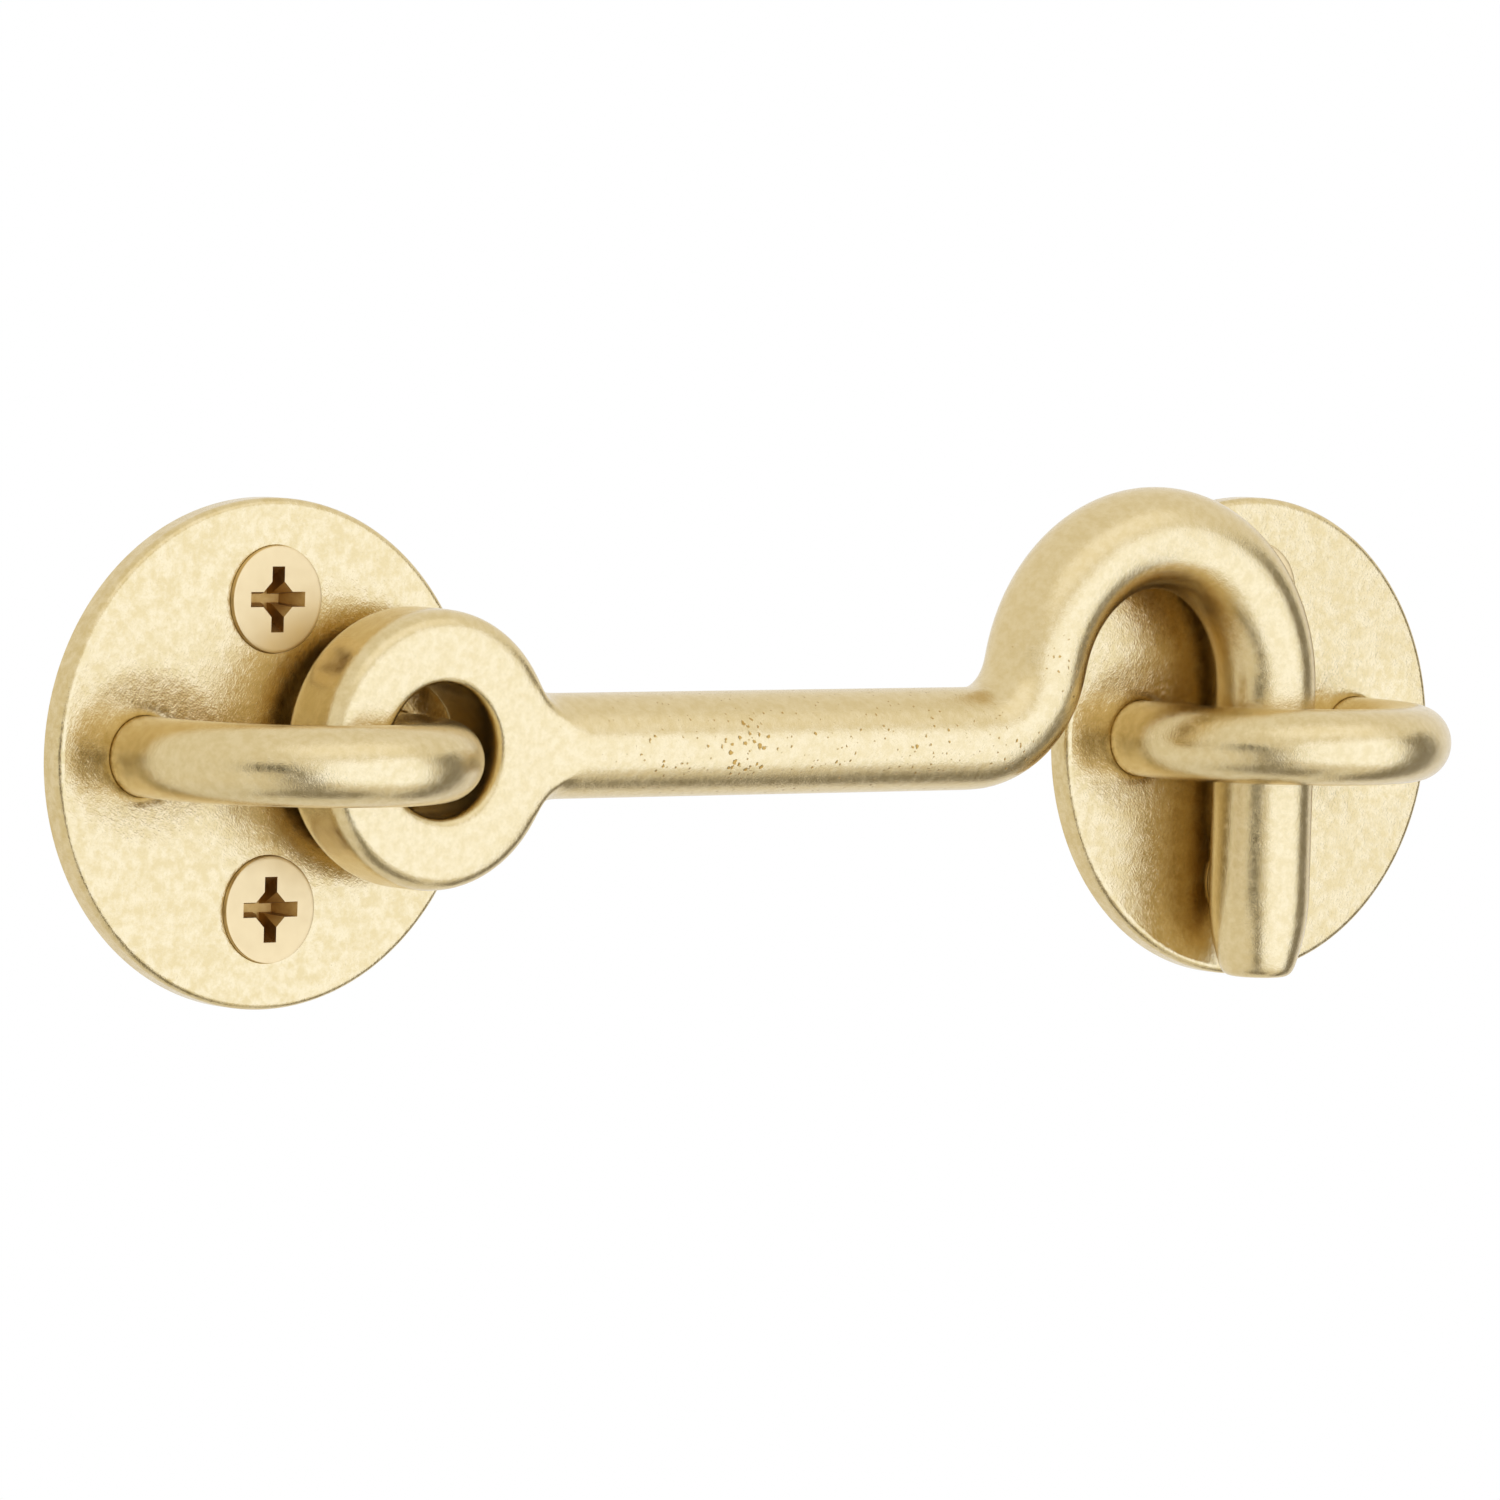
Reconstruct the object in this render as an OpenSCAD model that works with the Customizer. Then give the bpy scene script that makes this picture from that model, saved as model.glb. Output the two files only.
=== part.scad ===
// Cabin hook latch in cast brass: a forged hook that turns on the staple of a round
// plate, and drops into the staple of a second plate, the keep.
// Origin: centre of the pivot plate's back face. +X runs to the keep, +Y into the wall, +Z up.

/* [Plates] */
// Diameter of both round plates
plate_d = 38; // [36:0.5:46]
// Thickness of both plates
plate_t = 2; // [1.6:0.1:3]
// Radius of the softened front edge of a plate
plate_edge = 0.8; // [0.2:0.1:1]
// Depth of the shallow dish that riveting draws into the plate round each leg of a staple
dish_h = 0.35; // [0.2:0.05:0.5]
// Width of the flat left between a dish and the softened edge
dish_rim = 0.5; // [0.3:0.1:1.5]

/* [Staples] */
// Diameter of the staple wire
wire_d = 6; // [5:0.25:6.5]
// Distance between the two legs of a staple, axis to axis
leg_spacing = 22.4; // [21:0.2:24]
// Free height between the front of the hook and the crown of the bow
bow_play = 2; // [1.5:0.1:3]
// Diameter of the peened end of a leg at the back of its plate
peen_d = 7.4; // [7:0.1:8]
// Depth of the peened end
peen_h = 0.8; // [0.4:0.1:1]
// Radial gap between a leg and its hole in the plate
staple_fit = 0.05; // [0.02:0.01:0.1]

/* [Hook] */
// Diameter of the round bar that the hook is forged from
rod_d = 8; // [7:0.25:9]
// Distance from the centre of the eye to the axis of the hanging tip
hook_reach = 82.5; // [74:0.1:110]
// Outer diameter of the eye
eye_d = 21; // [20:0.25:24]
// Depth by which each face of the eye is pressed flat below the round of the bar
eye_press = 0.6; // [0.2:0.05:0.9]
// Radius of the run-out where the pressed flat fades into the shank
press_r = 8; // [5:0.5:20]
// Distance by which the pressed flat stops short of the straight shank
press_short = 2.4; // [1.5:0.1:2.6]
// Radius of the softened outer edge of the eye
eye_edge = 1.6; // [0.6:0.1:1.8]
// Radius of the softened edge of the hole in the eye
eye_lip = 0.8; // [0.3:0.1:1]
// Least gap between the wire and the hole in the eye
eye_play = 0.85; // [0.75:0.05:1.1]
// Radius of the hollow between the eye and the shank
neck_r = 4; // [2.5:0.25:6]
// Bar-axis radius of the bend that turns the shank up into the arch
bend_r = 6.8; // [6:0.1:9]
// Bar-axis radius of the arch
arch_r = 11.9; // [11:0.1:13.5]
// Height of the crown of the arch above the shank, axis to axis
arch_rise = 15.5; // [14.5:0.1:17]
// Depth of the end of the tip below the axis of the shank
tip_drop = 19.3; // [15:0.1:26]
// Length of the tapered end of the tip
tip_taper = 6.6; // [4:0.1:9]
// Diameter at the end of the taper
tip_d = 5.4; // [4.5:0.1:6.5]
// Radius of the rounded corner at the end of the tip
tip_round = 0.9; // [0.4:0.1:1.4]
// Gap between the back of the hook and the heads of the screws
hook_play = 0.5; // [0.4:0.05:1]
// Height of the shank's axis above the axis between the plates
hook_rise = 0.6; // [0:0.1:0.8]
// Distance of the tip's axis from the centre of the keep, towards the pivot plate
tip_offset = 2.8; // [2:0.1:3]

/* [Screws] */
// Distance between the two screws of a plate
screw_spacing = 23; // [21:0.5:25]
// Diameter of a screw head
screw_head_d = 8; // [7:0.1:8.4]
// Diameter of a screw shank
screw_d = 4; // [3:0.1:4.5]
// Height of the head's rim above the face of the plate
screw_proud = 0.4; // [0.2:0.1:0.6]
// Length of a screw behind its plate
screw_reach = 17; // [12:0.5:30]
// Length of the screw's pointed end
screw_point = 5; // [3:0.5:7]
// Width across the cross recess
recess_w = 5; // [4:0.1:5.2]
// Width of one arm of the cross recess
recess_arm = 1.15; // [0.8:0.05:1.4]
// Depth of the cross recess
recess_h = 1.9; // [1.2:0.1:2.2]
// Radial gap between a screw and its hole in the plate
screw_fit = 0.1; // [0.05:0.05:0.3]

/* [Hidden] */
$fn = 96;

brass = "#d8bd84";
screw_brass = "#e4cba0";

rod_r = rod_d / 2;
eye_t = rod_d - 2 * eye_press;
wire_r = wire_d / 2;
bow_r = leg_spacing / 2;
bow_inner_r = bow_r - wire_r;

// A dish is a cap of a large ball, as wide as the plate allows round the leg.
dish_w = plate_d / 2 - plate_edge - dish_rim - bow_r;
dish_r = (pow(dish_w, 2) + pow(dish_h, 2)) / (2 * dish_h);

// The back of the bar clears the screw heads, and the bow clears the front of the bar.
hook_standoff = screw_proud + hook_play;
hook_axis_h = plate_t + hook_standoff + rod_r;
leg_stub = hook_standoff + rod_d + bow_play - bow_inner_r;

// The hole is centred on the stretch of bent wire that runs through the thickness of the eye.
eye_front_h = hook_standoff + rod_r + eye_t / 2 - leg_stub;
wire_inner_x = sqrt(pow(bow_inner_r, 2) - pow(eye_front_h, 2));
wire_outer_x = bow_r + wire_r;
eye_x = (wire_inner_x + wire_outer_x) / 2;
eye_hole_d = wire_outer_x - wire_inner_x + 2 * eye_play;

// Hair's breadth by which one stretch of the forging overlaps or stands below the next.
seam = 0.01;

// Neck: a hollow that runs out into the shank and bites a little into the round of the eye.
neck_bite = 0.1;
neck_eye_r = eye_d / 2 - neck_bite;
neck_x = sqrt(pow(neck_eye_r + neck_r, 2) - pow(rod_r + neck_r, 2));
neck_share = neck_eye_r / (neck_eye_r + neck_r);
neck_root_x = (eye_hole_d / 2 + eye_lip + neck_x * neck_share) / 2;
neck_root_r = (rod_r + neck_r) * neck_share;

// Bend and arch: two tangent arcs from the shank to the hanging tip.
bend_angle = acos((bend_r + arch_r - arch_rise) / (bend_r + arch_r));
arch_x = hook_reach - arch_r;
arch_y = arch_rise - arch_r;
bend_x = arch_x - (bend_r + arch_r) * sin(bend_angle);
// The bend's ends lap into the shank and the arch, a hair thinner than they are.
lap_angle = 1;

// Taper of the tip: one long arc from the bar to the rounded corner.
tip_length = arch_y + tip_drop;
taper_loss = (rod_d - tip_d) / 2;
taper_r = (pow(tip_taper, 2) + pow(taper_loss, 2)) / (2 * taper_loss);
corner_h = tip_taper - tip_round;
corner_x = rod_r - taper_r + sqrt(pow(taper_r - tip_round, 2) - pow(corner_h, 2));

keep_x = eye_x + hook_reach + tip_offset;

// Stands what is drawn on the XY plane up against the wall, at the distance x along it.
module on_wall(x = 0) {
    translate([x, 0, 0]) rotate([90, 0, 0]) children();
}

module plate_profile() {
    square([plate_d / 2 - plate_edge, plate_t]);
    square([plate_d / 2, plate_t - plate_edge]);
    translate([plate_d / 2 - plate_edge, plate_t - plate_edge]) circle(plate_edge);
}

// One leg's end inside the plate, with the peened cone that locks it. gap widens it to the hole.
module leg_end(gap = 0) {
    cylinder(h = plate_t, r = wire_r + gap);
    cylinder(h = peen_h, r1 = peen_d / 2 + gap, r2 = wire_r + gap);
}

// Head and neck of a screw inside the plate. gap widens it to the countersunk hole.
module screw_seat(gap = 0) {
    cylinder(h = plate_t, r1 = screw_d / 2 + gap, r2 = screw_head_d / 2 + gap);
}

module plate() {
    difference() {
        rotate_extrude() plate_profile();
        for (side = [-1, 1]) {
            translate([side * bow_r, 0, 0]) leg_end(staple_fit);
            translate([side * bow_r, 0, plate_t + dish_r - dish_h]) sphere(dish_r);
            translate([0, side * screw_spacing / 2, 0]) screw_seat(screw_fit);
        }
    }
}

module staple() {
    for (side = [-1, 1]) {
        translate([side * bow_r, 0, 0]) {
            leg_end();
            cylinder(h = plate_t + leg_stub, r = wire_r);
        }
    }
    translate([0, 0, plate_t + leg_stub]) {
        rotate([90, 0, 0]) rotate_extrude(angle = 180) translate([bow_r, 0]) circle(wire_r);
    }
}

module cross_recess() {
    intersection() {
        for (turn = [0, 90]) {
            rotate(turn) translate([-recess_w / 2, -recess_arm / 2, 0]) cube([recess_w, recess_arm, recess_h]);
        }
        cylinder(h = recess_h, r1 = recess_arm, r2 = recess_w / 2);
    }
}

module screw() {
    head_top = plate_t + screw_proud;
    difference() {
        union() {
            screw_seat();
            translate([0, 0, plate_t]) cylinder(h = screw_proud, d = screw_head_d);
            translate([0, 0, screw_point - screw_reach]) cylinder(h = screw_reach - screw_point, d = screw_d);
            translate([0, 0, -screw_reach]) cylinder(h = screw_point, d1 = 0, d2 = screw_d);
        }
        translate([0, 0, head_top - recess_h]) cross_recess();
    }
}

// Cross-section of the eye's ring, with softened outer edges and a lip at the hole.
module eye_profile() {
    hole_r = eye_hole_d / 2;
    half_t = eye_t / 2;
    translate([hole_r + eye_lip, -half_t]) square([eye_d / 2 - hole_r - eye_lip - eye_edge, eye_t]);
    translate([hole_r, eye_lip - half_t]) square([eye_lip, eye_t - 2 * eye_lip]);
    translate([eye_d / 2 - eye_edge, eye_edge - half_t]) square([eye_edge, eye_t - 2 * eye_edge]);
    for (side = [-1, 1]) {
        translate([hole_r + eye_lip, side * (half_t - eye_lip)]) circle(eye_lip);
        translate([eye_d / 2 - eye_edge, side * (half_t - eye_edge)]) circle(eye_edge);
    }
}

// Half outline of the neck and the shank: a hollow that runs out into the straight bar.
module shank_profile() {
    difference() {
        translate([0, neck_root_x]) square([neck_root_r, neck_x - neck_root_x]);
        translate([rod_r + neck_r, neck_x]) circle(neck_r);
    }
    translate([0, neck_x]) square([rod_r, bend_x - neck_x]);
}

// What the press takes off one face of the neck: a flat, then a run-out into the shank.
module press_cut() {
    flat_x = neck_x - press_short;
    translate([0, -eye_d / 2, eye_t / 2]) cube([flat_x, eye_d, eye_d]);
    translate([flat_x, eye_d / 2, eye_t / 2 + seam + press_r]) rotate([90, 0, 0]) cylinder(h = eye_d, r = press_r);
}

// Round shank, whose neck is pressed flat on both faces to the thickness of the eye.
module shank() {
    difference() {
        rotate([0, 90, 0]) rotate_extrude() shank_profile();
        press_cut();
        mirror([0, 0, 1]) press_cut();
    }
}

module tip_profile() {
    straight = tip_length - tip_taper;
    square([rod_r, straight]);
    translate([0, straight]) {
        intersection() {
            translate([rod_r - taper_r, 0]) circle(taper_r);
            square([rod_r, corner_h * taper_r / (taper_r - tip_round)]);
        }
        square([corner_x, tip_taper]);
        translate([corner_x, corner_h]) circle(tip_round);
    }
}

// The hook lies in the XY plane, its eye at the origin.
module hook_bar() {
    rotate_extrude() eye_profile();
    shank();
    translate([bend_x, bend_r, 0]) rotate(-90 - lap_angle) {
        rotate_extrude(angle = bend_angle + 2 * lap_angle) translate([bend_r, 0]) circle(rod_r - seam);
    }
    translate([arch_x, arch_y, 0]) {
        rotate_extrude(angle = 90 + bend_angle) translate([arch_r, 0]) circle(rod_r);
        translate([arch_r, 0, 0]) rotate([90, 0, 0]) rotate_extrude() tip_profile();
    }
}

module pivot_plate() { color(brass) on_wall() plate(); }
module pivot_staple() { color(brass) on_wall() staple(); }
module keep_plate() { color(brass) on_wall(keep_x) plate(); }
module keep_staple() { color(brass) on_wall(keep_x) staple(); }

module hook() {
    color(brass) on_wall(eye_x) translate([0, hook_rise, hook_axis_h]) hook_bar();
}

// side is 1 for the upper screw and -1 for the lower one.
module plate_screw(x, side) {
    color(screw_brass) on_wall(x) translate([0, side * screw_spacing / 2, 0]) screw();
}
module pivot_screw_upper() { plate_screw(0, 1); }
module pivot_screw_lower() { plate_screw(0, -1); }
module keep_screw_upper() { plate_screw(keep_x, 1); }
module keep_screw_lower() { plate_screw(keep_x, -1); }

pivot_plate();
pivot_staple();
pivot_screw_upper();
pivot_screw_lower();
hook();
keep_plate();
keep_staple();
keep_screw_upper();
keep_screw_lower();
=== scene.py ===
"""Cabin hook latch in satin brass: a softened forging, stamped plates, bent staples and threaded screws,
in a white studio."""

import math

import bpy
from mathutils import Matrix, Quaternion, Vector


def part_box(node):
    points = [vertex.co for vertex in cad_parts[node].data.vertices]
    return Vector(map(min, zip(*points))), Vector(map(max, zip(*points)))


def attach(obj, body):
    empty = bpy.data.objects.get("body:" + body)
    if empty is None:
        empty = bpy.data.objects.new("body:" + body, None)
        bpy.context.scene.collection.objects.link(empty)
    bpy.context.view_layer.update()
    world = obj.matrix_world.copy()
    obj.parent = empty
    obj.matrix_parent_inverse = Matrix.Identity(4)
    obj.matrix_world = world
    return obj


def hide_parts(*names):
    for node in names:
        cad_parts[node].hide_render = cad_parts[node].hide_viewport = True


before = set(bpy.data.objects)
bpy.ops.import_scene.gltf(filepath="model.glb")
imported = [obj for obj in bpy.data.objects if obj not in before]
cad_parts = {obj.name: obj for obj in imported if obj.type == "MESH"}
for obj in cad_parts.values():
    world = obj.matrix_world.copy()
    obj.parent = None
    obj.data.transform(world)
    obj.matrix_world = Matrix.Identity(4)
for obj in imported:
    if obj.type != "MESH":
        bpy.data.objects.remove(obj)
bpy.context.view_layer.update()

bl_info = {
    "name": "Cabin hook latch",
    "version": (1, 0, 0),
    "blender": (4, 5, 0),
    "location": "View3D > Sidebar > Latch",
    "description": "Dresses a brass cabin hook: plates, staples, forged hook, screws and a studio",
    "category": "Add Mesh",
}

MM = 0.001
PLATE_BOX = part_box("pivot_plate")
KEEP_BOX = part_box("keep_plate")
STAPLE_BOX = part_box("pivot_staple")
SCREW_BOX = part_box("pivot_screw_upper")
KEEP_X = (KEEP_BOX[0].x + KEEP_BOX[1].x) / 2
FRONT = Vector((0, -1, 0))

# Distance under which two vertices count as one.
WELD = 0.001 * MM
# Gaps round a staple's leg and round its peened end, in the plate.
LEG_FIT = 0.005 * MM
PEEN_FIT = 0.05 * MM
# Bevels at the back rim of a plate and round its holes.
BACK_EDGE = 0.15 * MM
HOLE_EDGE = 0.05 * MM
# How far a cutter stands past the faces that it cuts: a leg's seat, a countersink, a cross recess.
SEAT_OVERCUT = 0.5 * MM
SINK_OVERCUT = 1 * MM
RECESS_OVERCUT = 0.1 * MM
# Along a screw from the wall: end of the plain shank, end of its shoulder, start of the thread.
PLAIN_END = 1.2 * MM
SHOULDER_END = 1.9 * MM
THREAD_START = 1.7 * MM
# Radius and length of the blunted tip of a screw.
TIP_RADIUS = 0.06 * MM
TIP_LENGTH = 0.1 * MM
# The thread's ridge starts this far inside the core, and is this share of the pitch wide.
RIDGE_ROOT = 0.25 * MM
RIDGE_WIDTH = 0.56
# Clusters of casting pits on the hook, in mm: middle, reach, and how many of the cells have a pit.
HOOK_PITS = (((38, -11, 0.5), 6, 1.0), ((30, -11, 1), 6, 0.76), ((47, -11, 0.5), 6, 0.76),
             ((56, -11, 0), 6, 0.8), ((64, -11, 0), 6, 0.72), ((70, -10.5, 6), 7, 0.72),
             ((45, -11, 0), 40, 0.64))
# The point that the lamps and flags face.
LATCH_MIDDLE = Vector((0.045, -0.008, 0.0))
# The studio floor, in metres.
FLOOR_PLACE = (0.05, 0, -0.8)
FLOOR_RADIUS = 6


def linear(code):
    """Turns an sRGB hex colour into the linear values that the shaders take."""
    parts = [int(code[i:i + 2], 16) / 255 for i in (1, 3, 5)]
    return tuple(c / 12.92 if c <= 0.04045 else ((c + 0.055) / 1.055) ** 2.4 for c in parts)


class LatchSizes(bpy.types.PropertyGroup):
    """Sizes of the dressed pieces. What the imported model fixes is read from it."""

    plate_radius: bpy.props.FloatProperty(
        name="Plate radius", description="Radius of both round plates",
        default=PLATE_BOX[1].z, unit="LENGTH", precision=5)
    plate_thickness: bpy.props.FloatProperty(
        name="Plate thickness", description="Thickness of both plates",
        default=-PLATE_BOX[0].y, unit="LENGTH", precision=5)
    plate_edge: bpy.props.FloatProperty(
        name="Plate edge", description="Radius of the front edge of a plate",
        default=0.6 * MM, unit="LENGTH", precision=5)
    dish_radius: bpy.props.FloatProperty(
        name="Dish radius", description="Radius of the shallow dish round each leg of a staple",
        default=6.5 * MM, unit="LENGTH", precision=5)
    dish_depth: bpy.props.FloatProperty(
        name="Dish depth", description="Depth of the shallow dish round each leg of a staple",
        default=0.26 * MM, unit="LENGTH", precision=5)
    wire_radius: bpy.props.FloatProperty(
        name="Wire radius", description="Radius of the staple wire",
        default=3 * MM, unit="LENGTH", precision=5)
    bow_radius: bpy.props.FloatProperty(
        name="Bow radius", description="Radius of the bow at the axis of the wire",
        default=11.2 * MM, unit="LENGTH", precision=5)
    bow_reach: bpy.props.FloatProperty(
        name="Bow reach", description="How far the bow stands out from the wall",
        default=-STAPLE_BOX[0].y, unit="LENGTH", precision=5)
    peen_radius: bpy.props.FloatProperty(
        name="Peen radius", description="Radius of a leg's end where it is peened over",
        default=3.7 * MM, unit="LENGTH", precision=5)
    peen_depth: bpy.props.FloatProperty(
        name="Peen depth", description="Depth of the peened end",
        default=0.8 * MM, unit="LENGTH", precision=5)
    screw_offset: bpy.props.FloatProperty(
        name="Screw offset", description="Distance of a screw from the centre of its plate",
        default=(SCREW_BOX[0].z + SCREW_BOX[1].z) / 2, unit="LENGTH", precision=5)
    head_radius: bpy.props.FloatProperty(
        name="Head radius", description="Radius of a screw head",
        default=(SCREW_BOX[1].z - SCREW_BOX[0].z) / 2, unit="LENGTH", precision=5)
    head_height: bpy.props.FloatProperty(
        name="Head height", description="Distance of the top of a screw head from the wall",
        default=-SCREW_BOX[0].y, unit="LENGTH", precision=5)
    screw_reach: bpy.props.FloatProperty(
        name="Screw reach", description="Length of a screw inside the wall",
        default=SCREW_BOX[1].y, unit="LENGTH", precision=5)
    screw_radius: bpy.props.FloatProperty(
        name="Screw radius", description="Radius over the threads of a screw",
        default=2 * MM, unit="LENGTH", precision=5)
    screw_core: bpy.props.FloatProperty(
        name="Screw core", description="Radius of a screw at the root of its thread",
        default=1.42 * MM, unit="LENGTH", precision=5)
    screw_point: bpy.props.FloatProperty(
        name="Screw point", description="Length of a screw's pointed end",
        default=5 * MM, unit="LENGTH", precision=5)
    thread_pitch: bpy.props.FloatProperty(
        name="Thread pitch", description="Distance from one turn of the thread to the next",
        default=1.6 * MM, unit="LENGTH", precision=5)
    recess_width: bpy.props.FloatProperty(
        name="Recess width", description="Width across the cross recess",
        default=5 * MM, unit="LENGTH", precision=5)
    recess_arm: bpy.props.FloatProperty(
        name="Recess arm", description="Width of one arm of the cross recess",
        default=1.15 * MM, unit="LENGTH", precision=5)
    recess_depth: bpy.props.FloatProperty(
        name="Recess depth", description="Depth of the cross recess",
        default=1.9 * MM, unit="LENGTH", precision=5)
    hole_fit: bpy.props.FloatProperty(
        name="Hole fit", description="Radial gap round a screw head",
        default=0.03 * MM, unit="LENGTH", precision=5)
    hook_grain: bpy.props.FloatProperty(
        name="Hook grain", description="Size of the cells that the forged hook is rebuilt from",
        default=0.23 * MM, unit="LENGTH", precision=6)
    hook_tumbling: bpy.props.IntProperty(
        name="Hook tumbling", description="Rounds of smoothing that wear down the hook's edges",
        default=24, min=0, max=60)


class LatchFinish(bpy.types.PropertyGroup):
    """Colours of the brass and of the studio."""

    brass: bpy.props.FloatVectorProperty(
        name="Brass", description="Satin brass of the plates, staples and hook",
        default=linear("#DBC798"), size=3, subtype="COLOR", min=0, max=1)
    brass_deep: bpy.props.FloatVectorProperty(
        name="Deep brass", description="Darker brass in the mottled grain",
        default=linear("#CBB37A"), size=3, subtype="COLOR", min=0, max=1)
    pit: bpy.props.FloatVectorProperty(
        name="Pits", description="Tarnish in the casting pits",
        default=linear("#B28D48"), size=3, subtype="COLOR", min=0, max=1)
    screw: bpy.props.FloatVectorProperty(
        name="Screw brass", description="Turned brass of the screws",
        default=linear("#DBC28E"), size=3, subtype="COLOR", min=0, max=1)
    # Painted shade: the recess colour is darker than the screw brass and stands in for the shade inside the
    # cross recess.
    recess: bpy.props.FloatVectorProperty(
        name="Recess", description="Unpolished brass inside the cross recess",
        default=linear("#CBAA6B"), size=3, subtype="COLOR", min=0, max=1)
    # The deeper tone of the painted shade in the recess, blotched through it at random.
    recess_shade_deep: bpy.props.FloatVectorProperty(
        name="Residue", description="Residue of the barrelling inside the cross recess",
        default=linear("#A67C38"), size=3, subtype="COLOR", min=0, max=1)
    studio: bpy.props.FloatVectorProperty(
        name="Studio", description="White of the floor and of the background",
        default=(1.0, 1.0, 1.0), size=3, subtype="COLOR", min=0, max=1)


def deselect():
    """Leaves nothing selected, so that an operator acts on the new piece alone."""
    if bpy.context.object and bpy.context.object.mode != "OBJECT":
        bpy.ops.object.mode_set(mode="OBJECT")
    bpy.ops.object.select_all(action="DESELECT")


def select(piece):
    """Makes one piece the only selected and the active one."""
    deselect()
    piece.select_set(True)
    bpy.context.view_layer.objects.active = piece


def edit_whole(piece):
    """Enters edit mode on one piece, with all of it selected."""
    select(piece)
    bpy.ops.object.mode_set(mode="EDIT")
    bpy.ops.mesh.select_mode(type="VERT")
    bpy.ops.mesh.select_all(action="SELECT")


def pick(piece, kind, test):
    """Enters edit mode with just those edges or faces selected whose middle passes the test."""
    select(piece)
    mesh = piece.data
    bpy.ops.object.mode_set(mode="EDIT")
    bpy.ops.mesh.select_mode(type=kind)
    bpy.ops.mesh.select_all(action="DESELECT")
    bpy.ops.object.mode_set(mode="OBJECT")
    points = [v.co for v in mesh.vertices]
    for part in {"EDGE": mesh.edges, "FACE": mesh.polygons}[kind]:
        if kind == "EDGE":
            middle = (points[part.vertices[0]] + points[part.vertices[1]]) / 2
        else:
            middle = part.center
        part.select = test(middle)
    bpy.ops.object.mode_set(mode="EDIT")


def draw_line(name, points):
    """Draws an open line of edges through the points, from a plane merged into one vertex."""
    deselect()
    bpy.ops.mesh.primitive_plane_add(size=MM, location=(0, 0, 0))
    line = bpy.context.object
    line.name = name
    edit_whole(line)
    bpy.ops.mesh.merge(type="CENTER")
    bpy.ops.mesh.select_all(action="SELECT")
    bpy.ops.transform.translate(value=points[0])
    for start, end in zip(points, points[1:]):
        bpy.ops.mesh.extrude_vertices_move(
            TRANSFORM_OT_translate={"value": Vector(end) - Vector(start)})
    return line


def turn_line(name, outline, steps):
    """Turns an outline of radius and place along Y into a closed solid round Y."""
    solid = draw_line(name, [(r, y, 0) for r, y in outline])
    bpy.ops.mesh.select_all(action="SELECT")
    bpy.ops.mesh.spin(steps=steps, angle=2 * math.pi, center=(0, 0, 0), axis=(0, 1, 0))
    close_up(solid)
    return solid


def close_up(piece):
    """Merges doubles, drops faces without area and turns every face outwards."""
    edit_whole(piece)
    bpy.ops.mesh.remove_doubles(threshold=WELD)
    bpy.ops.mesh.dissolve_degenerate(threshold=WELD)
    bpy.ops.mesh.normals_make_consistent(inside=False)
    bpy.ops.object.mode_set(mode="OBJECT")


def settle():
    """Puts the place, turn and scale of the selected piece into its mesh."""
    bpy.ops.object.transform_apply(location=True, rotation=True, scale=True)


def apply_modifier(piece, kind, **settings):
    """Adds a modifier with its settings and applies it."""
    select(piece)
    modifier = piece.modifiers.new(kind.title(), kind)
    for name, value in settings.items():
        setattr(modifier, name, value)
    bpy.ops.object.modifier_apply(modifier=modifier.name)


def cut(piece, cutter):
    """Cuts a closed cutter out of a piece and deletes the cutter."""
    apply_modifier(piece, "BOOLEAN", operation="DIFFERENCE", solver="EXACT", object=cutter)
    bpy.data.objects.remove(cutter)


def copy_to(piece, name, shift):
    """Copies a piece, with a mesh of its own, and moves the copy's mesh by the shift."""
    select(piece)
    bpy.ops.object.duplicate(linked=False)
    twin = bpy.context.object
    twin.name = name
    bpy.ops.transform.translate(value=shift)
    settle()
    return twin


def hand_over(piece, node, angle):
    """Shades a finished piece, keeping its flats flat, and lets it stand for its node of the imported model."""
    select(piece)
    settle()
    bpy.ops.object.shade_smooth_by_angle(angle=math.radians(angle))
    if node != "hook":
        apply_modifier(piece, "WEIGHTED_NORMAL", keep_sharp=True)
    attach(piece, "hook" if node == "hook" else "base")
    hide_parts(node)


def add_node(tree, kind, inputs=None, **settings):
    """Adds a node with its settings. An input given as a socket is linked, any other is set."""
    node = tree.nodes.new(kind)
    for name, value in settings.items():
        setattr(node, name, value)
    for name, value in (inputs or {}).items():
        if isinstance(value, bpy.types.NodeSocket):
            tree.links.new(value, node.inputs[name])
        else:
            node.inputs[name].default_value = value
    return node


def new_material(name):
    """An empty node material, its tree and its output node."""
    material = bpy.data.materials.new(name)
    material.use_nodes = True
    material.node_tree.nodes.clear()
    return material, material.node_tree, add_node(material.node_tree, "ShaderNodeOutputMaterial")


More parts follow.
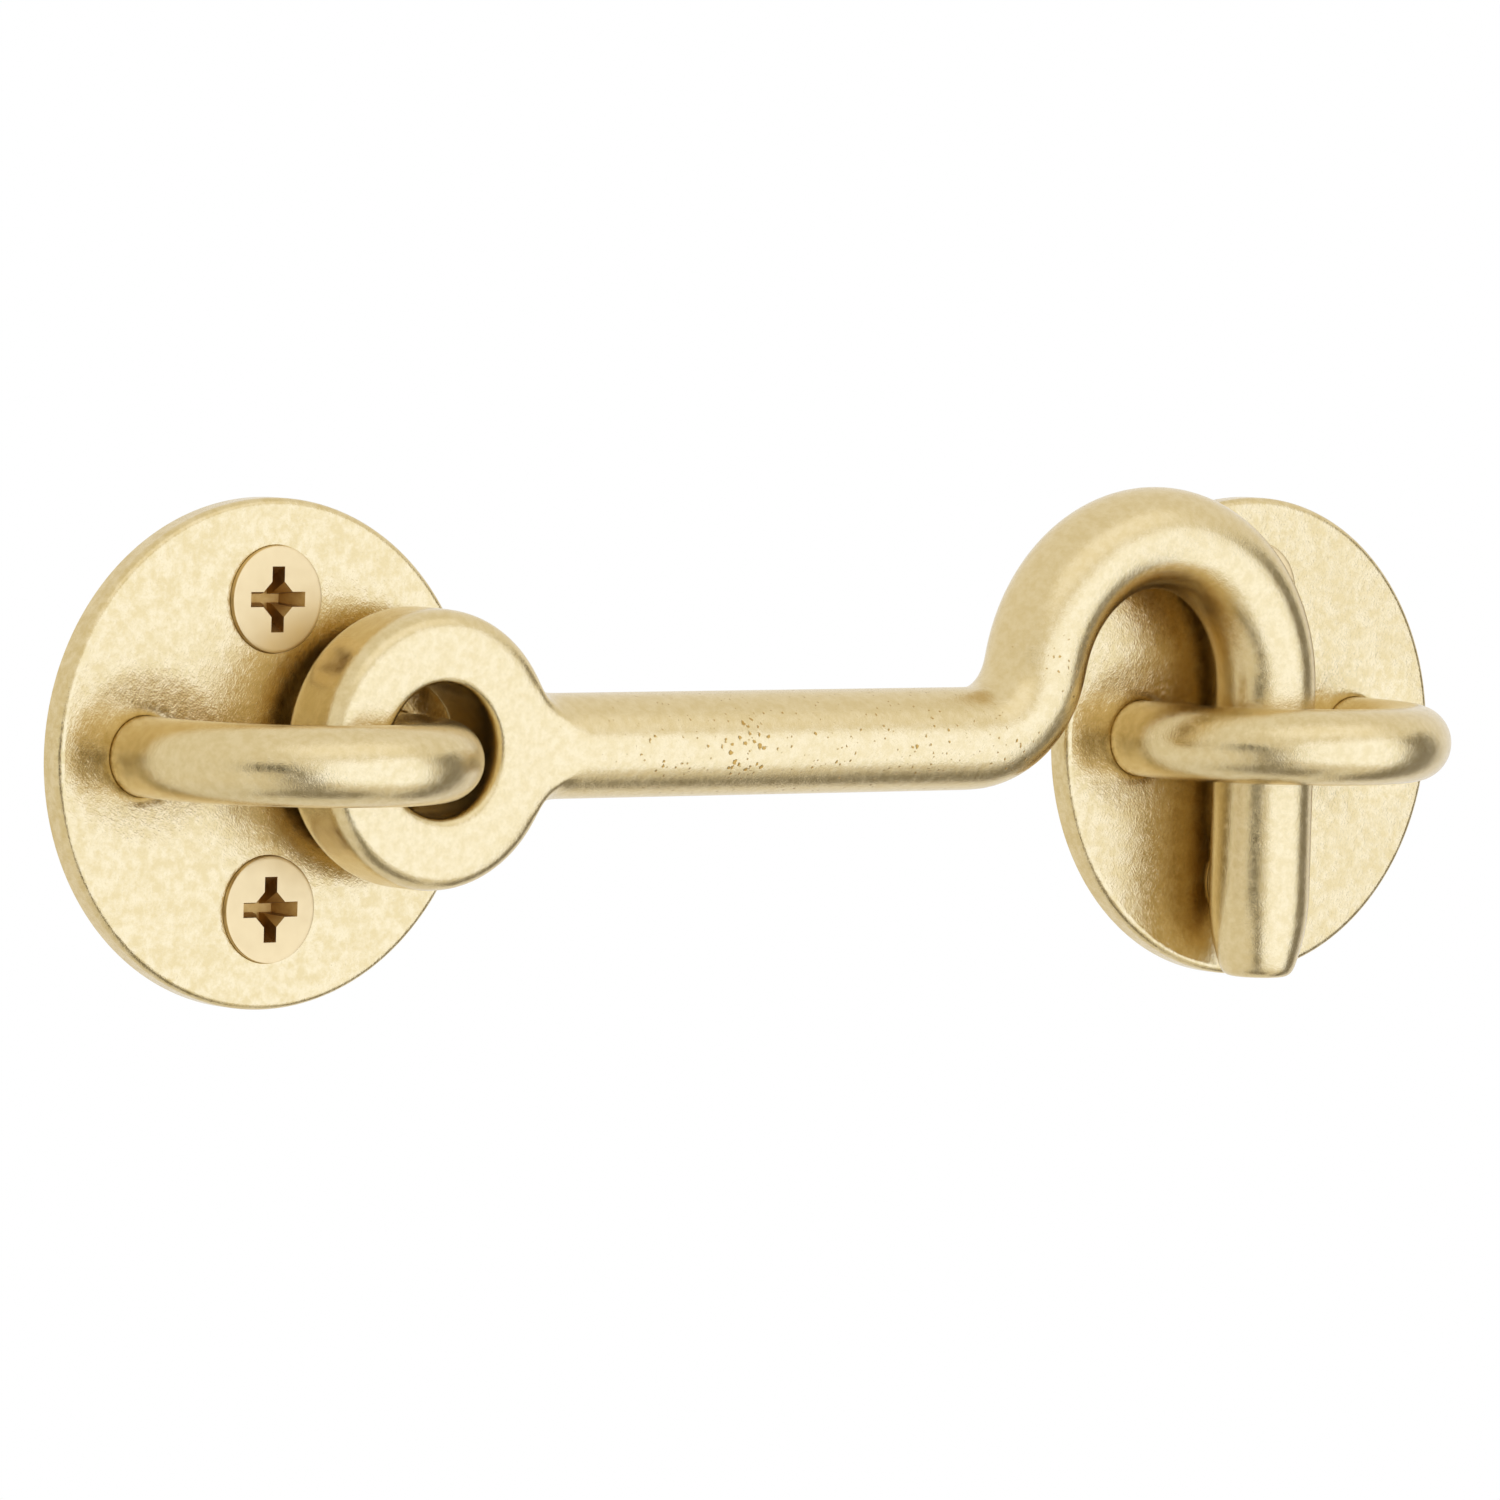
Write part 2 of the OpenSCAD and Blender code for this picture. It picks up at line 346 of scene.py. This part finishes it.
def tumbled_brass(name, grain_mm, grain_depth_mm, mottle, roughness, pits=()):
    """Cast brass, tumbled to a satin: the eye sees broad soft reflections broken up by a fine
    mottled grain, where short tumbling marks catch the light, and pits on the hook."""
    patch_mm, stroke_width = 0.8, 0.28
    finish = bpy.context.scene.latch_finish
    material, tree, output = new_material(name)
    place = add_node(tree, "ShaderNodeTexCoord").outputs["Object"]
    # Ragged patches of the casting that took the tumbling a little differently.
    patches = add_node(tree, "ShaderNodeTexNoise", {
        "Vector": place, "Scale": 1 / (patch_mm * MM), "Detail": 4.0, "Roughness": 0.65})
    # Tumbling marks: short strokes in two directions, each about a quarter as wide as it is long.
    strokes = []
    for turn in ((0.3, 0.6, 0.4), (-0.4, 2.1, 0.3)):
        across = stroke_width * grain_mm * MM
        lay = add_node(tree, "ShaderNodeMapping", {
            "Vector": place, "Rotation": turn, "Scale": (grain_mm * MM, across, across)},
            vector_type="TEXTURE")
        strokes.append(add_node(tree, "ShaderNodeTexNoise", {
            "Vector": lay.outputs[0], "Scale": 1.0, "Detail": 2.0, "Roughness": 0.5, "Distortion": 0.6}))
    marks = add_node(tree, "ShaderNodeMath", {
        0: strokes[0].outputs["Fac"], 1: strokes[1].outputs["Fac"]}, operation="MAXIMUM")
    relief = add_node(tree, "ShaderNodeMath", {
        0: marks.outputs[0], 1: patches.outputs["Fac"]}, operation="MULTIPLY")
    tone = add_node(tree, "ShaderNodeMapRange", {
        "Value": patches.outputs["Fac"], "From Min": 0.38, "From Max": 0.62,
        "To Min": 1 - mottle, "To Max": 1.0})
    colour = add_node(tree, "ShaderNodeMix", {
        "Factor": tone.outputs[0], 6: (*finish.brass_deep, 1), 7: (*finish.brass, 1)}, data_type="RGBA")
    rough = add_node(tree, "ShaderNodeMapRange", {
        "Value": marks.outputs[0], "From Min": 0.3, "From Max": 0.7,
        "To Min": roughness[0], "To Max": roughness[1]})
    grain = add_node(tree, "ShaderNodeBump", {
        "Height": relief.outputs[0], "Strength": 1.0, "Distance": grain_depth_mm * MM})
    shade = {"Base Color": colour.outputs[2], "Metallic": 1.0, "Roughness": rough.outputs[0],
             "Normal": grain.outputs[0]}
    if pits:
        pit = casting_pits(tree, place, pits)
        pit_depth_mm = 0.06
        stained = add_node(tree, "ShaderNodeMix", {
            "Factor": pit, 6: colour.outputs[2], 7: (*finish.pit, 1)}, data_type="RGBA")
        sunk = add_node(tree, "ShaderNodeBump", {
            "Height": pit, "Strength": 0.45, "Distance": pit_depth_mm * MM, "Normal": grain.outputs[0]},
            invert=True)
        shade["Base Color"] = stained.outputs[2]
        shade["Normal"] = sunk.outputs[0]
    shader = add_node(tree, "ShaderNodeBsdfPrincipled", shade)
    tree.links.new(shader.outputs[0], output.inputs["Surface"])
    return material


def casting_pits(tree, place, clusters):
    """Socket that is 1 in the casting pits, which are 0.1 to 0.3 mm wide and ragged, and denser in the
    clusters. Each cell of a pattern may hold one pit, and the nearer a cluster, the wider it is."""
    cell_mm, ripple_mm, ragged_mm = 0.45, 0.35, 0.4
    widest, rim = 0.52, 0.16
    warp = add_node(tree, "ShaderNodeTexNoise", {
        "Vector": place, "Scale": 1 / (ripple_mm * MM), "Detail": 2.0})
    ragged = add_node(tree, "ShaderNodeVectorMath", {
        0: warp.outputs["Color"], 1: (ragged_mm * MM,) * 3, 2: place}, operation="MULTIPLY_ADD")
    cells = add_node(tree, "ShaderNodeTexVoronoi", {
        "Vector": ragged.outputs[0], "Scale": 1 / (cell_mm * MM), "Randomness": 1.0})
    chance = add_node(tree, "ShaderNodeSeparateColor", {"Color": cells.outputs["Color"]})
    near = None
    for spot, reach, many in clusters:
        away = add_node(tree, "ShaderNodeVectorMath", {0: place, 1: Vector(spot) * MM},
                        operation="DISTANCE")
        share = add_node(tree, "ShaderNodeMapRange", {
            "Value": away.outputs["Value"], "From Min": reach * MM, "From Max": 0.3 * reach * MM,
            "To Max": many}).outputs[0]
        near = share if near is None else add_node(tree, "ShaderNodeMath", {
            0: near, 1: share}, operation="MAXIMUM").outputs[0]
    luck = add_node(tree, "ShaderNodeMath", {0: chance.outputs[0], 1: near}, operation="MULTIPLY")
    size = add_node(tree, "ShaderNodeMapRange", {
        "Value": luck.outputs[0], "From Min": 0.15, "From Max": 1.0, "To Min": 0.0, "To Max": widest})
    deep = add_node(tree, "ShaderNodeMath", {
        0: size.outputs[0], 1: cells.outputs["Distance"]}, operation="SUBTRACT")
    return add_node(tree, "ShaderNodeMapRange", {
        "Value": deep.outputs[0], "From Min": 0.0, "From Max": rim}).outputs[0]


def turned_brass():
    """Screw brass, turned and barrelled: an even dull sheen, warmer than the castings, with a faint cloud."""
    cloud_mm, cloud_depth_mm = 1.2, 0.01
    finish = bpy.context.scene.latch_finish
    material, tree, output = new_material("screw_brass_turned")
    place = add_node(tree, "ShaderNodeTexCoord").outputs["Object"]
    cloud = add_node(tree, "ShaderNodeTexNoise", {
        "Vector": place, "Scale": 1 / (cloud_mm * MM), "Detail": 3.0, "Roughness": 0.6})
    rough = add_node(tree, "ShaderNodeMapRange", {
        "Value": cloud.outputs["Fac"], "From Min": 0.3, "From Max": 0.7, "To Min": 0.33, "To Max": 0.42})
    height = add_node(tree, "ShaderNodeBump", {
        "Height": cloud.outputs["Fac"], "Strength": 0.3, "Distance": cloud_depth_mm * MM})
    shader = add_node(tree, "ShaderNodeBsdfPrincipled", {
        "Base Color": (*finish.screw, 1), "Metallic": 1.0, "Roughness": rough.outputs[0],
        "Normal": height.outputs[0]})
    tree.links.new(shader.outputs[0], output.inputs["Surface"])
    return material


def recess_shade_brass():
    """Darker brass inside the cross recess, which is painted shade: dull, and blotched at random with a deeper
    tone of painted shade.
    """
    smear_mm = 0.5
    finish = bpy.context.scene.latch_finish
    material, tree, output = new_material("recess_brass_painted_shade")
    place = add_node(tree, "ShaderNodeTexCoord").outputs["Object"]
    smear = add_node(tree, "ShaderNodeTexNoise", {
        "Vector": place, "Scale": 1 / (smear_mm * MM), "Detail": 3.0})
    # Painted shade inside the recess: two darker tones of brass, mixed at random by the smear.
    colour = add_node(tree, "ShaderNodeMix", {
        "Factor": smear.outputs["Fac"], 6: (*finish.recess_shade_deep, 1), 7: (*finish.recess, 1)}, data_type="RGBA")
    shader = add_node(tree, "ShaderNodeBsdfPrincipled", {
        "Base Color": colour.outputs[2], "Metallic": 1.0, "Roughness": 0.42})
    tree.links.new(shader.outputs[0], output.inputs["Surface"])
    return material


def leg_seat(sizes):
    """Outline of a leg's seat in a plate: the dish that riveting draws in, with its rim eased out, the
    roll-in at the leg, the hole, and the flare for the peened end. It runs on past both faces, to cut
    them clean."""
    wide, sunk, face = sizes.dish_radius, sizes.dish_depth, -sizes.plate_thickness
    hole, flare = sizes.wire_radius + LEG_FIT, sizes.peen_radius + PEEN_FIT
    slope = (sizes.peen_radius - sizes.wire_radius) / sizes.peen_depth
    # Shares of the dish's radius and depth. The bowl is a parabola, and its rim eases out with another.
    rim, bowl, ease, ease_drop = 1.14, 0.9, 0.211, 0.19
    dish = [(rim, -0.03)]
    dish += [(bowl + ease * k / 8, ease_drop * (1 - k / 8) ** 2) for k in range(6, 0, -1)]
    dish += [(k / 20, 1 - (k / 20) ** 2) for k in range(18, 11, -1)]
    # The roll-in, in mm: distance from the axis of the leg, and depth below the bowl.
    for r, roll in ((3.45, 0.02), (3.25, 0.06), (3.1, 0.11)):
        dish.append((r * MM / wide, 1 - (r * MM / wide) ** 2 + roll * MM / sunk))
    last_roll = 0.17 * MM
    seat = [(0, 2 * face), (rim * wide, 2 * face)]
    seat += [(wide * r, face + sunk * d) for r, d in dish]
    seat += [(hole, face + sunk * (1 - (hole / wide) ** 2) + last_roll), (hole, (hole - flare) / slope),
             (flare + slope * SEAT_OVERCUT, SEAT_OVERCUT), (0, SEAT_OVERCUT)]
    return seat


class LATCH_OT_plates(bpy.types.Operator):
    """Stamps the two round plates, with soft edges, dished leg holes and countersunk screw holes"""

    bl_idname = "latch.plates"
    bl_label = "Round plates"

    def execute(self, context):
        sizes = context.scene.latch_sizes
        radius, thick = sizes.plate_radius, sizes.plate_thickness
        deselect()
        bpy.ops.mesh.primitive_circle_add(
            vertices=192, radius=radius, fill_type="NGON", rotation=(math.pi / 2, 0, 0))
        plate = context.object
        plate.name = "pivot_plate_stamped"
        settle()
        edit_whole(plate)
        bpy.ops.mesh.extrude_region_move(
            TRANSFORM_OT_translate={"value": FRONT * thick})
        at_rim, near_front, near_back = radius - 0.1 * MM, -0.8 * thick, -0.01 * MM
        pick(plate, "EDGE", lambda m: m.y < near_front and math.hypot(m.x, m.z) > at_rim)
        bpy.ops.mesh.bevel(offset=sizes.plate_edge, segments=8, affect="EDGES")
        pick(plate, "EDGE", lambda m: m.y > near_back and math.hypot(m.x, m.z) > at_rim)
        bpy.ops.mesh.bevel(offset=BACK_EDGE, segments=2, affect="EDGES")
        close_up(plate)
        # The countersink follows the cone of the screw head and runs on past both faces.
        slope = (sizes.head_radius - sizes.screw_radius) / thick
        narrow = sizes.screw_radius + sizes.hole_fit - slope * SINK_OVERCUT
        broad = sizes.head_radius + sizes.hole_fit + slope * SINK_OVERCUT
        for side in (-1, 1):
            cutter = turn_line("leg_seat", leg_seat(sizes), steps=97)
            bpy.ops.transform.translate(value=(side * sizes.bow_radius, 0, 0))
            cut(plate, cutter)
            deselect()
            bpy.ops.mesh.primitive_cone_add(
                vertices=96, radius1=narrow, radius2=broad, depth=thick + 2 * SINK_OVERCUT,
                location=(0, -thick / 2, side * sizes.screw_offset), rotation=(math.pi / 2, 0, 0))
            cut(plate, context.object)
        apply_modifier(plate, "BEVEL", width=HOLE_EDGE, segments=2, limit_method="ANGLE",
                       angle_limit=math.radians(40))
        close_up(plate)
        plate.data.materials.append(tumbled_brass(
            "plate_brass_tumbled", grain_mm=0.5, grain_depth_mm=0.05, mottle=0.75, roughness=(0.14, 0.24)))
        twin = copy_to(plate, "keep_plate_stamped", (KEEP_X, 0, 0))
        hand_over(plate, "pivot_plate", angle=30)
        hand_over(twin, "keep_plate", angle=30)
        return {"FINISHED"}


class LATCH_OT_staples(bpy.types.Operator):
    """Bends the two staples from round wire and peens the ends of their legs"""

    bl_idname = "latch.staples"
    bl_label = "Wire staples"

    def execute(self, context):
        sizes = context.scene.latch_sizes
        wire, bow = sizes.wire_radius, sizes.bow_radius
        peen, peen_depth = sizes.peen_radius, sizes.peen_depth
        leg = sizes.bow_reach - bow - wire
        deselect()
        bpy.ops.mesh.primitive_circle_add(
            vertices=64, radius=peen, fill_type="NGON", location=(bow, 0, 0), rotation=(math.pi / 2, 0, 0))
        staple = context.object
        staple.name = "pivot_staple_bent"
        settle()
        # The wire is drawn from the first peened end along its leg, round the bow and back to the wall.
        edit_whole(staple)
        bpy.ops.mesh.extrude_region_move(
            TRANSFORM_OT_translate={"value": FRONT * peen_depth})
        bpy.ops.transform.resize(value=(wire / peen,) * 3, center_override=(bow, -peen_depth, 0))
        bpy.ops.mesh.extrude_region_move(
            TRANSFORM_OT_translate={"value": FRONT * (leg - peen_depth)})
        bpy.ops.mesh.spin(steps=72, angle=math.pi, center=(0, -leg, 0), axis=(0, 0, 1))
        bpy.ops.mesh.extrude_region_move(
            TRANSFORM_OT_translate={"value": -FRONT * (leg - peen_depth)})
        bpy.ops.mesh.extrude_region_move(
            TRANSFORM_OT_translate={"value": -FRONT * peen_depth})
        bpy.ops.transform.resize(value=(peen / wire,) * 3, center_override=(-bow, 0, 0))
        close_up(staple)
        staple.data.materials.append(tumbled_brass(
            "staple_brass_tumbled", grain_mm=0.4, grain_depth_mm=0.035, mottle=0.5, roughness=(0.16, 0.25)))
        twin = copy_to(staple, "keep_staple_bent", (KEEP_X, 0, 0))
        hand_over(staple, "pivot_staple", angle=40)
        hand_over(twin, "keep_staple", angle=40)
        return {"FINISHED"}


class LATCH_OT_hook(bpy.types.Operator):
    """Softens the forged hook: a merged copy, rebuilt from small cells and smoothed to look tumbled"""

    bl_idname = "latch.hook"
    bl_label = "Forged hook"

    def execute(self, context):
        sizes = context.scene.latch_sizes
        hook = bpy.data.objects.new("hook_forged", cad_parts["hook"].data.copy())
        context.scene.collection.objects.link(hook)
        hook.data.materials.clear()
        close_up(hook)
        apply_modifier(hook, "REMESH", mode="VOXEL", voxel_size=sizes.hook_grain, use_smooth_shade=True)
        apply_modifier(hook, "SMOOTH", factor=0.5, iterations=sizes.hook_tumbling)
        hook.data.materials.append(tumbled_brass(
            "hook_brass_tumbled", grain_mm=0.4, grain_depth_mm=0.035, mottle=0.5, roughness=(0.16, 0.25),
            pits=HOOK_PITS))
        hand_over(hook, "hook", angle=60)
        return {"FINISHED"}


def wind_thread(sizes):
    """Winds the thread: a ridge of triangular section along the core, worn away to the point."""
    core, reach, point, pitch = sizes.screw_core, sizes.screw_reach, sizes.screw_point, sizes.thread_pitch
    turns = int((reach - THREAD_START) / pitch)
    ridge = draw_line("thread_ridge", [
        (core - RIDGE_ROOT, 0, THREAD_START),
        (sizes.screw_radius, 0, THREAD_START + RIDGE_WIDTH * pitch / 2),
        (core - RIDGE_ROOT, 0, THREAD_START + RIDGE_WIDTH * pitch)])
    bpy.ops.mesh.select_all(action="SELECT")
    bpy.ops.mesh.edge_face_add()
    apply_modifier(ridge, "SCREW", axis="Z", angle=2 * math.pi, screw_offset=pitch, iterations=turns,
                   steps=40, render_steps=40, use_merge_vertices=False, use_normal_calculate=True)
    # The two ends of the ridge are open triangles.
    edit_whole(ridge)
    bpy.ops.mesh.fill_holes(sides=3)
    select(ridge)
    bpy.ops.transform.rotate(value=math.pi / 2, orient_axis="X", center_override=(0, 0, 0))
    settle()
    if sum(v.co.y for v in ridge.data.vertices) < 0:
        bpy.ops.transform.rotate(value=math.pi, orient_axis="X", center_override=(0, 0, 0))
        settle()
    thinnest = 0.04
    for vertex in ridge.data.vertices:
        share = min(1.0, max(thinnest, (reach - vertex.co.y) / point))
        vertex.co.x *= share
        vertex.co.z *= share
    close_up(ridge)
    return ridge


def punch_recess(screw, sizes):
    """Punches the cross recess: two tapered blades and a four-sided middle."""
    top, deep = sizes.head_height, sizes.recess_depth
    width, arm = sizes.recess_width, sizes.recess_arm
    taper, lower_part = 0.55, -top + 0.9 * deep
    middle_broad, middle_narrow = 1.95 * MM, 0.4 * MM
    centre = (0, deep / 2 - top - RECESS_OVERCUT / 2, 0)
    for across, along in ((width, arm), (arm, width)):
        deselect()
        bpy.ops.mesh.primitive_cube_add(size=1, location=centre)
        blade = bpy.context.object
        bpy.ops.transform.resize(value=(across, deep + RECESS_OVERCUT, along))
        settle()
        pick(blade, "FACE", lambda m: m.y > lower_part)
        bpy.ops.transform.resize(value=(taper, 1, taper), center_override=(0, -top + deep, 0))
        bpy.ops.object.mode_set(mode="OBJECT")
        cut(screw, blade)
    deselect()
    bpy.ops.mesh.primitive_cone_add(
        vertices=4, radius1=middle_broad, radius2=middle_narrow, depth=deep + RECESS_OVERCUT,
        location=centre, rotation=(-math.pi / 2, 0, 0))
    cut(screw, bpy.context.object)
    close_up(screw)


class LATCH_OT_screws(bpy.types.Operator):
    """Turns one countersunk wood screw, threads it, punches its recess and copies it to the four holes"""

    bl_idname = "latch.screws"
    bl_label = "Countersunk screws"

    def execute(self, context):
        sizes = context.scene.latch_sizes
        head, top, thick = sizes.head_radius, sizes.head_height, sizes.plate_thickness
        core, reach = sizes.screw_core, sizes.screw_reach
        # Half outline from the top of the head to the point, with the rim of the head rounded.
        flat, rim, corner = head - 0.3 * MM, 0.12 * MM, 0.03 * MM
        outline = [(0, -top), (flat, -top), (head - rim, -top), (head - corner, -top + corner),
                   (head, -top + rim), (head, -thick), (sizes.screw_radius, 0),
                   (sizes.screw_radius, PLAIN_END), (core, SHOULDER_END),
                   (core, reach - sizes.screw_point), (TIP_RADIUS, reach - TIP_LENGTH), (0, reach)]
        screw = turn_line("pivot_screw_upper_turned", outline, steps=64)
        ridge = wind_thread(sizes)
        punch_recess(screw, sizes)
        screw.data.materials.append(turned_brass())
        screw.data.materials.append(recess_shade_brass())
        # The faces of the recess are those near the axis, below the top of the head and above the shank.
        near_axis = 0.53 * sizes.recess_width
        upper, lower = -top + 0.02 * MM, -top + 1.1 * sizes.recess_depth
        for face in screw.data.polygons:
            inside = math.hypot(face.center.x, face.center.z) < near_axis
            below = upper < face.center.y < lower
            face.material_index = 1 if inside and below else 0
        ridge.data.materials.append(screw.data.materials[0])
        select(screw)
        ridge.select_set(True)
        bpy.ops.object.join()
        bpy.ops.transform.translate(value=(0, 0, sizes.screw_offset))
        settle()
        twins = [("pivot_screw_lower", (0, 0, -2 * sizes.screw_offset)),
                 ("keep_screw_upper", (KEEP_X, 0, 0)),
                 ("keep_screw_lower", (KEEP_X, 0, -2 * sizes.screw_offset))]
        made = [(copy_to(screw, node + "_turned", shift), node) for node, shift in twins]
        for piece, node in [(screw, "pivot_screw_upper"), *made]:
            hand_over(piece, node, angle=30)
        return {"FINISHED"}


def white_rays(tree):
    """Socket that is 1 for the rays that see the studio as plain white: camera, glossy and transmission."""
    path = add_node(tree, "ShaderNodeLightPath")
    seen = path.outputs["Is Camera Ray"]
    for ray in ("Is Glossy Ray", "Is Transmission Ray"):
        seen = add_node(tree, "ShaderNodeMath", {
            0: seen, 1: path.outputs[ray]}, operation="MAXIMUM").outputs[0]
    return seen


def aim(thing, azimuth, elevation, roll, far):
    """Puts a lamp or flag at a distance from the latch, on the side of these angles, and faces it there."""
    a, e = math.radians(azimuth), math.radians(elevation)
    away = Vector((math.sin(a) * math.cos(e), -math.cos(a) * math.cos(e), math.sin(e)))
    thing.location = LATCH_MIDDLE + away * far
    turn = away.to_track_quat("Z", "Y") @ Quaternion((0, 0, 1), math.radians(roll))
    thing.rotation_euler = turn.to_euler()


class LATCH_OT_studio(bpy.types.Operator):
    """Sets up the white studio: floor, soft boxes, grey flags, background and the camera"""

    bl_idname = "latch.studio"
    bl_label = "Studio"

    def execute(self, context):
        scene = context.scene
        finish = scene.latch_finish
        scene.view_settings.view_transform = "Standard"

        # The floor lies well below the latch, which hangs free in front of plain white.
        deselect()
        bpy.ops.mesh.primitive_circle_add(
            vertices=96, radius=FLOOR_RADIUS, fill_type="NGON", location=FLOOR_PLACE)
        floor = context.object
        floor.name = "studio_floor"
        settle()
        paper, tree, output = new_material("studio_paper_matt")
        paper_grey, room_light = (0.85, 0.85, 0.85, 1), 0.6
        matt = add_node(tree, "ShaderNodeBsdfDiffuse", {"Color": paper_grey})
        glow = add_node(tree, "ShaderNodeEmission", {"Color": (*finish.studio, 1), "Strength": 1.0})
        # Near the latch a good part of the floor stays matt and takes the shadow. Far out it is plain white.
        away = add_node(tree, "ShaderNodeVectorMath", {
            0: add_node(tree, "ShaderNodeTexCoord").outputs["Object"]}, operation="LENGTH")
        white = add_node(tree, "ShaderNodeMapRange", {
            "Value": away.outputs["Value"], "From Min": 0.5, "From Max": 1.2, "To Min": 0.6, "To Max": 1.0})
        share = add_node(tree, "ShaderNodeMath", {
            0: white_rays(tree), 1: white.outputs[0]}, operation="MULTIPLY")
        cover = add_node(tree, "ShaderNodeMixShader", {
            0: share.outputs[0], 1: matt.outputs[0], 2: glow.outputs[0]})
        tree.links.new(cover.outputs[0], output.inputs["Surface"])
        floor.data.materials.append(paper)

        world = bpy.data.worlds.new("studio_white")
        scene.world = world
        world.use_nodes = True
        tree = world.node_tree
        tree.nodes.clear()
        dim = add_node(tree, "ShaderNodeBackground", {"Color": (*finish.studio, 1), "Strength": room_light})
        white = add_node(tree, "ShaderNodeBackground", {"Color": (*finish.studio, 1), "Strength": 1.0})
        room = add_node(tree, "ShaderNodeMixShader", {
            0: white_rays(tree), 1: dim.outputs[0], 2: white.outputs[0]})
        add_node(tree, "ShaderNodeOutputWorld", {"Surface": room.outputs[0]})

        # Soft boxes add to the white of the room: name, azimuth, elevation, roll, distance, width, height,
        # brightness against white, and tint.
        boxes = (("key_softbox", 17, -16, 7, 1.0, 1.58, 1.56, 1.06, (0.43, 0.57, 1.0)),
                 ("top_softbox", 8, 48, 0, 1.0, 1.3, 0.6, 0.45, (0.6, 0.7, 1.0)))
        for name, azimuth, elevation, roll, far, width, tall, bright, tint in boxes:
            data = bpy.data.lights.new(name, "AREA")
            data.shape = "RECTANGLE"
            data.size, data.size_y = width, tall
            data.color = tint
            data.energy = bright * math.pi * width * tall
            lamp = bpy.data.objects.new(name, data)
            scene.collection.objects.link(lamp)
            aim(lamp, azimuth, elevation, roll, far)
            lamp.visible_camera = False

        # Grey flags, which metal shows as its dark lines: name, azimuth, elevation, roll, distance,
        # width, height and brightness.
        flags = (("figure_flag", -52, -3, 0, 0.4, 0.15, 0.12, 0.06),
                 ("stand_flag", -34, -42, 10, 0.4, 0.11, 0.62, 0.28),
                 ("side_flag", 80, -20, 16, 0.4, 0.22, 0.66, 0.28),
                 ("low_flag", -10, -78, 0, 0.35, 0.25, 0.16, 0.33))
        felt_tint = (1.0, 0.95, 0.87, 1)
        for name, azimuth, elevation, roll, far, width, tall, bright in flags:
            deselect()
            bpy.ops.mesh.primitive_plane_add(size=1)
            card = context.object
            card.name = name
            card.scale = (width, tall, 1)
            aim(card, azimuth, elevation, roll, far)
            cloth, tree, output = new_material(name + "_felt")
            felt = add_node(tree, "ShaderNodeEmission", {"Color": felt_tint, "Strength": bright})
            tree.links.new(felt.outputs[0], output.inputs["Surface"])
            card.data.materials.append(cloth)
            card.visible_camera = False
            card.visible_diffuse = False
            card.visible_shadow = False

        # The camera stands where the photograph was taken from: its axes, then its place.
        data = bpy.data.cameras.new("photo_camera")
        data.lens = 249.3
        data.sensor_width = 36
        data.clip_start, data.clip_end = 0.01, 50
        camera = bpy.data.objects.new("photo_camera", data)
        scene.collection.objects.link(camera)
        right = Vector((0.78878, -0.61407, 0.02728))
        up = Vector((0.01488, 0.06345, 0.99787))
        back = Vector((-0.61449, -0.7867, 0.05919))
        place = Vector((-0.44432, -0.62835, 0.04678))
        turn = Matrix((right, up, back)).transposed().to_4x4()
        camera.matrix_world = Matrix.Translation(place) @ turn
        scene.camera = camera
        return {"FINISHED"}


class LATCH_PT_panel(bpy.types.Panel):
    """Lists the steps that dress the latch"""

    bl_idname = "LATCH_PT_panel"
    bl_label = "Cabin hook latch"
    bl_space_type = "VIEW_3D"
    bl_region_type = "UI"
    bl_category = "Latch"

    def draw(self, context):
        for step in STEPS:
            self.layout.operator(step.bl_idname)
        for group in (context.scene.latch_sizes, context.scene.latch_finish):
            box = self.layout.box()
            for name in group.__annotations__:
                box.prop(group, name)


STEPS = (LATCH_OT_plates, LATCH_OT_staples, LATCH_OT_hook, LATCH_OT_screws, LATCH_OT_studio)
CLASSES = (LatchSizes, LatchFinish, *STEPS, LATCH_PT_panel)


def register():
    for cls in CLASSES:
        bpy.utils.register_class(cls)
    bpy.types.Scene.latch_sizes = bpy.props.PointerProperty(type=LatchSizes)
    bpy.types.Scene.latch_finish = bpy.props.PointerProperty(type=LatchFinish)


def unregister():
    del bpy.types.Scene.latch_finish
    del bpy.types.Scene.latch_sizes
    for cls in reversed(CLASSES):
        bpy.utils.unregister_class(cls)


def main():
    register()
    bpy.ops.latch.plates()
    bpy.ops.latch.staples()
    bpy.ops.latch.hook()
    bpy.ops.latch.screws()
    bpy.ops.latch.studio()


if __name__ == "__main__":
    main()
